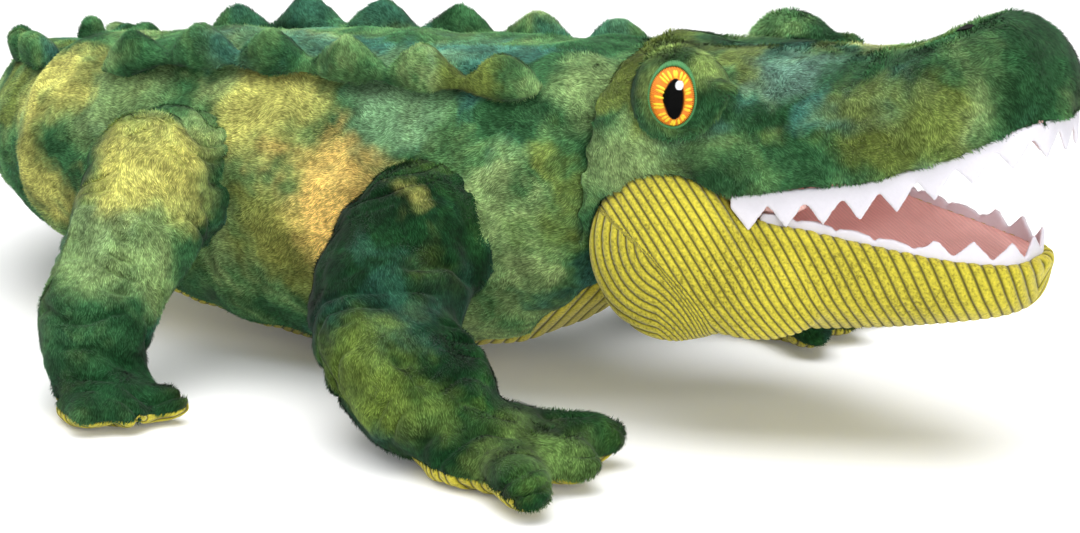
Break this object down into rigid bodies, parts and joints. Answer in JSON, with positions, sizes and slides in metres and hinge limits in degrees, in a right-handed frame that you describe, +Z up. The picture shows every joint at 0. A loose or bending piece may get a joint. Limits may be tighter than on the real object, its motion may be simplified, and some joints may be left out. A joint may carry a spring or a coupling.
{
  "type": "plush crocodile",
  "caption": "Stuffed crocodile toy with a corduroy belly and jaw, open felt-toothed mouth, padded spike rows, curled tail and splayed legs that bend where they are sewn on.",
  "frame": {"origin": "on the floor below the centre of the bounding box", "axes": "+X towards the snout, +Y to the animal's left, +Z up"},
  "size_m": [0.4706, 0.3004, 0.145],
  "materials": {
    "green_plush": "short pile, mottled",
    "olive_plush": "short pile, mottled",
    "dark_green_plush": "short pile, mottled",
    "yellow_green_corduroy": "ribbed",
    "pink_twill": "matte",
    "white_felt": "matte",
    "white_fibre": "matte",
    "orange_thread": "satin",
    "black_thread": "satin",
    "white_thread": "satin"
  },
  "bodies": {
    "body": {"back_points_left": "olive_plush", "back_points_right": "olive_plush", "belly_panel": "yellow_green_corduroy", "body_cover": "green_plush", "body_filling": "white_fibre"},
    "neck": {"neck_filling": "white_fibre"},
    "head": {"head_cover": "olive_plush", "head_filling": "white_fibre", "left_brow": "dark_green_plush", "left_glint": "white_thread", "left_iris": "orange_thread", "left_nostril": "black_thread", "left_pupil": "black_thread", "palate_lining": "pink_twill", "right_brow": "dark_green_plush", "right_glint": "white_thread", "right_iris": "orange_thread", "right_nostril": "black_thread", "right_pupil": "black_thread", "snout_cover": "olive_plush", "upper_teeth": "white_felt"},
    "jaw": {"jaw_cover": "yellow_green_corduroy", "jaw_filling": "white_fibre", "lower_teeth": "white_felt", "mouth_floor": "pink_twill"},
    "tail_base": {"tail_base_cover": "green_plush", "tail_base_filling": "white_fibre", "tail_points_left": "olive_plush", "tail_points_right": "olive_plush"},
    "tail_tip": {"tail_tip_cover": "green_plush", "tail_tip_filling": "white_fibre", "tail_tip_points": "olive_plush"},
    "front_left_leg": {"front_left_leg_cover": "dark_green_plush", "front_left_leg_filling": "white_fibre", "front_left_sole": "yellow_green_corduroy"},
    "front_right_leg": {"front_right_leg_cover": "dark_green_plush", "front_right_leg_filling": "white_fibre", "front_right_sole": "yellow_green_corduroy"},
    "rear_left_leg": {"rear_left_leg_cover": "dark_green_plush", "rear_left_leg_filling": "white_fibre", "rear_left_sole": "yellow_green_corduroy"},
    "rear_right_leg": {"rear_right_leg_cover": "dark_green_plush", "rear_right_leg_filling": "white_fibre", "rear_right_sole": "yellow_green_corduroy"}
  },
  "joints": [
    {"name": "neck_turn", "type": "hinge", "parent": "body", "child": "neck", "pos_m": [0.04728, -0.01119, 0.084], "axis": [0, 0, 1], "range_deg": [-12, 12], "stiffness_Nm_per_rad": 8},
    {"name": "neck_nod", "type": "hinge", "parent": "neck", "child": "head", "pos_m": [0.04728, -0.01119, 0.084], "axis": [0, 1, 0], "range_deg": [-10, 10], "stiffness_Nm_per_rad": 14},
    {"name": "jaw_hinge", "type": "hinge", "parent": "head", "child": "jaw", "pos_m": [0.11728, -0.01119, 0.063], "axis": [0, 1, 0], "range_deg": [-7, 12], "stiffness_Nm_per_rad": 5},
    {"name": "tail_turn", "type": "hinge", "parent": "body", "child": "tail_base", "pos_m": [-0.12772, -0.01119, 0.0625], "axis": [0, 0, 1], "range_deg": [-15, 15], "stiffness_Nm_per_rad": 4},
    {"name": "tail_tip_turn", "type": "hinge", "parent": "tail_base", "child": "tail_tip", "pos_m": [-0.19442, 0.02786, 0.05851], "axis": [0, 0, 1], "range_deg": [-15, 15], "stiffness_Nm_per_rad": 2},
    {"name": "front_left_leg_swing", "type": "hinge", "parent": "body", "child": "front_left_leg", "pos_m": [0.03328, 0.03881, 0.06], "axis": [0, 1, 0], "range_deg": [-10, 20], "stiffness_Nm_per_rad": 4},
    {"name": "front_right_leg_swing", "type": "hinge", "parent": "body", "child": "front_right_leg", "pos_m": [0.03328, -0.06119, 0.06], "axis": [0, 1, 0], "range_deg": [-10, 20], "stiffness_Nm_per_rad": 4},
    {"name": "rear_left_leg_swing", "type": "hinge", "parent": "body", "child": "rear_left_leg", "pos_m": [-0.07272, 0.03681, 0.066], "axis": [0, 1, 0], "range_deg": [-15, 20], "stiffness_Nm_per_rad": 4},
    {"name": "rear_right_leg_swing", "type": "hinge", "parent": "body", "child": "rear_right_leg", "pos_m": [-0.07272, -0.05919, 0.066], "axis": [0, 1, 0], "range_deg": [-15, 20], "stiffness_Nm_per_rad": 4}
  ]
}
